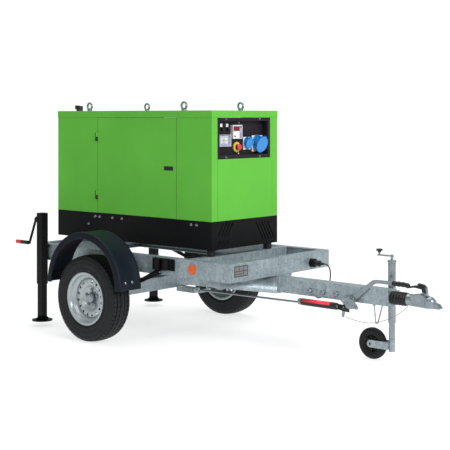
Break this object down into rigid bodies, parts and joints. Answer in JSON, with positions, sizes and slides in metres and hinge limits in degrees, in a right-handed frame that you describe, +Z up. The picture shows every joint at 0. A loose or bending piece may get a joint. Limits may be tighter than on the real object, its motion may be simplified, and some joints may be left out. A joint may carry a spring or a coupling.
{
  "type": "towable diesel generator",
  "caption": "Sound-proofed diesel generating set in a green canopy on a galvanised single-axle trailer with an overrun coupling, a jockey wheel and rear jacks.",
  "frame": {"origin": "on the ground, under the middle of the whole trailer", "axes": "+X forward to the tow hitch, +Y to the left-hand side, +Z up"},
  "size_m": [3.289, 1.6, 1.6454],
  "materials": {
    "galvanised": "hot-dip galvanised steel with a spangled, slightly dull surface",
    "green_paint": "semi-gloss green powder coat",
    "black_paint": "semi-gloss black powder coat",
    "panel_black": "fine-textured black powder coat",
    "fender_plastic": "grained blue-black plastic",
    "tyre_rubber": "tyre rubber, matt on the tread and satin on the side walls",
    "rim_silver": "silver wheel lacquer",
    "zinc_steel": "bright zinc-plated steel",
    "engine_grey": "painted cast iron",
    "engine_alu": "cast aluminium",
    "dark_steel": "heat-darkened steel",
    "rubber": "black moulded rubber",
    "grey_plastic": "light grey moulded plastic",
    "clear_plastic": "clear smoked polycarbonate",
    "red_plastic": "red moulded plastic",
    "blue_plastic": "blue moulded plastic",
    "black_plastic": "black moulded plastic",
    "amber_lens": "orange and red reflector plastic",
    "cord_black": "black PVC sheath",
    "steel_cable": "twisted galvanised steel cable"
  },
  "bodies": {
    "chassis": {"side_rails": "galvanised", "cross_rails": "galvanised", "drawbar_arms": "galvanised", "drawbar_tube": "galvanised", "axle_beam": "galvanised", "rubber_feet": "rubber", "fenders": "fender_plastic", "jack_sleeves": "black_paint", "base_shell": "black_paint", "fuel_tank": "black_paint", "canopy_roof": "green_paint", "corner_panels": "green_paint", "front_panel": "green_paint", "rear_panel": "green_paint", "door_hinges": "black_plastic", "control_panel": "panel_black", "panel_instruments": "grey_plastic", "lifting_eyes": "zinc_steel", "silencer": "dark_steel", "engine_block": "engine_grey", "cylinder_head": "engine_alu", "radiator": "engine_alu", "alternator": "engine_grey", "battery": "black_plastic", "bellows": "rubber", "drawbar_fittings": "black_paint", "lamps": "amber_lens", "lighting_lead": "cord_black", "breakaway_cable": "steel_cable", "lead_plug": "black_plastic"},
    "wheel_right": {"tyre_right": "tyre_rubber", "rim_right": "rim_silver"},
    "wheel_left": {"tyre_left": "tyre_rubber", "rim_left": "rim_silver"},
    "jack_right": {"jack_leg_right": "black_paint"},
    "jack_left": {"jack_leg_left": "black_paint"},
    "jack_crank_right": {"jack_crank_right": "black_paint"},
    "jack_crank_left": {"jack_crank_left": "black_paint"},
    "door_right": {"door_right": "green_paint"},
    "door_left": {"door_left": "green_paint"},
    "latch_right": {"latch_right": "black_plastic"},
    "latch_left": {"latch_left": "black_plastic"},
    "breaker_window": {"breaker_window": "clear_plastic"},
    "breaker_switch": {"breaker_switch": "black_plastic"},
    "stop_button": {"stop_button": "red_plastic"},
    "small_socket_lid": {"small_socket_lid": "blue_plastic"},
    "large_socket_lid": {"large_socket_lid": "blue_plastic"},
    "rain_flap": {"rain_flap": "dark_steel"},
    "crankshaft": {"crankshaft_set": "dark_steel"},
    "cooling_fan": {"cooling_fan": "black_plastic"},
    "coupling": {"coupling_head": "galvanised"},
    "coupling_handle": {"coupling_handle": "zinc_steel"},
    "handbrake": {"handbrake_lever": "zinc_steel"},
    "brake_rod": {"brake_rod": "zinc_steel"},
    "jockey_tube": {"jockey_tube": "galvanised"},
    "jockey_leg": {"jockey_leg": "zinc_steel"},
    "jockey_fork": {"jockey_fork": "galvanised"},
    "jockey_wheel": {"jockey_wheel": "tyre_rubber"},
    "jockey_crank": {"jockey_crank": "zinc_steel"},
    "clamp_handle": {"clamp_handle": "zinc_steel"}
  },
  "joints": [
    {"name": "wheel_right_spin", "type": "hinge", "parent": "chassis", "child": "wheel_right", "pos_m": [-0.6605, -0.7, 0.295], "axis": [0, 1, 0], "continuous": true},
    {"name": "wheel_left_spin", "type": "hinge", "parent": "chassis", "child": "wheel_left", "pos_m": [-0.6605, 0.7, 0.295], "axis": [0, 1, 0], "continuous": true},
    {"name": "jack_right_lift", "type": "slide", "parent": "chassis", "child": "jack_right", "axis": [0, 0, 1], "range_m": [-0.3, 0]},
    {"name": "jack_left_lift", "type": "slide", "parent": "chassis", "child": "jack_left", "axis": [0, 0, 1], "range_m": [-0.3, 0]},
    {"name": "jack_crank_right_turn", "type": "hinge", "parent": "chassis", "child": "jack_crank_right", "pos_m": [-1.4205, -0.58, 0.78], "axis": [1, 0, 0], "continuous": true},
    {"name": "jack_crank_left_turn", "type": "hinge", "parent": "chassis", "child": "jack_crank_left", "pos_m": [-1.4205, 0.58, 0.78], "axis": [1, 0, 0], "continuous": true},
    {"name": "door_right_hinge", "type": "hinge", "parent": "chassis", "child": "door_right", "pos_m": [-1.0005, -0.358, 1.178], "axis": [0, 0, -1], "range_deg": [0, 120]},
    {"name": "door_left_hinge", "type": "hinge", "parent": "chassis", "child": "door_left", "pos_m": [-1.0005, 0.358, 1.178], "axis": [0, 0, 1], "range_deg": [0, 120]},
    {"name": "latch_right_flap", "type": "hinge", "parent": "door_right", "child": "latch_right", "pos_m": [-0.2815, -0.343, 1.19], "axis": [-1, 0, 0], "range_deg": [0, 60], "stiffness_Nm_per_rad": 0.2, "springref_deg": -17.19},
    {"name": "latch_left_flap", "type": "hinge", "parent": "door_left", "child": "latch_left", "pos_m": [-0.2815, 0.343, 1.19], "axis": [1, 0, 0], "range_deg": [0, 60], "stiffness_Nm_per_rad": 0.2, "springref_deg": -17.19},
    {"name": "breaker_window_hinge", "type": "hinge", "parent": "chassis", "child": "breaker_window", "pos_m": [0.0985, -0.2045, 1.407], "axis": [0, -1, 0], "range_deg": [0, 95]},
    {"name": "breaker_lever", "type": "hinge", "parent": "chassis", "child": "breaker_switch", "pos_m": [0.0865, -0.204, 1.376], "axis": [0, 1, 0], "range_deg": [0, 50]},
    {"name": "stop_button_press", "type": "slide", "parent": "chassis", "child": "stop_button", "axis": [-1, 0, 0], "range_m": [0, 0.006], "stiffness_N_per_m": 400, "springref_m": -0.002},
    {"name": "small_socket_lid_hinge", "type": "hinge", "parent": "chassis", "child": "small_socket_lid", "pos_m": [0.09863, 0.071, 1.39181], "axis": [0, -1, 0], "range_deg": [0, 95], "stiffness_Nm_per_rad": 0.05, "springref_deg": -28.65},
    {"name": "large_socket_lid_hinge", "type": "hinge", "parent": "chassis", "child": "large_socket_lid", "pos_m": [0.12478, 0.183, 1.39732], "axis": [0, -1, 0], "range_deg": [0, 95], "stiffness_Nm_per_rad": 0.15, "springref_deg": -28.65},
    {"name": "rain_flap_hinge", "type": "hinge", "parent": "chassis", "child": "rain_flap", "pos_m": [-1.3975, -0.2, 1.618], "axis": [0, -1, 0], "range_deg": [0, 80]},
    {"name": "crankshaft_turn", "type": "hinge", "parent": "chassis", "child": "crankshaft", "pos_m": [-0.6605, 0, 1.01], "axis": [1, 0, 0], "continuous": true},
    {"name": "cooling_fan_turn", "type": "hinge", "parent": "chassis", "child": "cooling_fan", "pos_m": [-1.2005, 0, 1.135], "axis": [1, 0, 0], "continuous": true},
    {"name": "overrun_slide", "type": "slide", "parent": "chassis", "child": "coupling", "axis": [-1, 0, 0], "range_m": [0, 0.08], "stiffness_N_per_m": 4000, "springref_m": -0.02, "deforming": ["bellows"]},
    {"name": "coupling_handle_lift", "type": "hinge", "parent": "coupling", "child": "coupling_handle", "pos_m": [1.5325, 0, 0.45], "axis": [0, 1, 0], "range_deg": [0, 38], "stiffness_Nm_per_rad": 6, "springref_deg": -17.19},
    {"name": "handbrake_pull", "type": "hinge", "parent": "chassis", "child": "handbrake", "pos_m": [1.0215, -0.065, 0.365], "axis": [0, -1, 0], "range_deg": [0, 45]},
    {"name": "brake_rod_pull", "type": "slide", "parent": "chassis", "child": "brake_rod", "axis": [1, 0, 0], "range_m": [0, 0.0285]},
    {"name": "jockey_tube_slide", "type": "slide", "parent": "chassis", "child": "jockey_tube", "axis": [0, 0, 1], "range_m": [0, 0.15]},
    {"name": "jockey_screw", "type": "slide", "parent": "jockey_tube", "child": "jockey_leg", "axis": [0, 0, 1], "range_m": [-0.12, 0.09]},
    {"name": "jockey_crank_turn", "type": "hinge", "parent": "jockey_tube", "child": "jockey_crank", "pos_m": [1.2485, 0.082, 0.66], "axis": [0, 0, 1], "continuous": true},
    {"name": "jockey_fork_swivel", "type": "hinge", "parent": "jockey_leg", "child": "jockey_fork", "pos_m": [1.2485, 0.082, 0.14], "axis": [0, 0, 1], "continuous": true},
    {"name": "jockey_wheel_spin", "type": "hinge", "parent": "jockey_fork", "child": "jockey_wheel", "pos_m": [1.1075, 0.082, 0.1], "axis": [0, 1, 0], "continuous": true},
    {"name": "clamp_screw_turn", "type": "hinge", "parent": "chassis", "child": "clamp_handle", "pos_m": [1.2965, 0.1, 0.42], "axis": [0, 1, 0], "range_deg": [0, 180]}
  ],
  "couplings": [
    {"joint": "jack_crank_right_turn", "follows": "jack_right_lift", "rad_per_m": 1256.6},
    {"joint": "jack_crank_left_turn", "follows": "jack_left_lift", "rad_per_m": 1256.6},
    {"joint": "cooling_fan_turn", "follows": "crankshaft_turn", "ratio": 1.2},
    {"joint": "brake_rod_pull", "follows": "handbrake_pull", "m_per_rad": 0.0354},
    {"joint": "jockey_crank_turn", "follows": "jockey_screw", "rad_per_m": 1256.6}
  ]
}
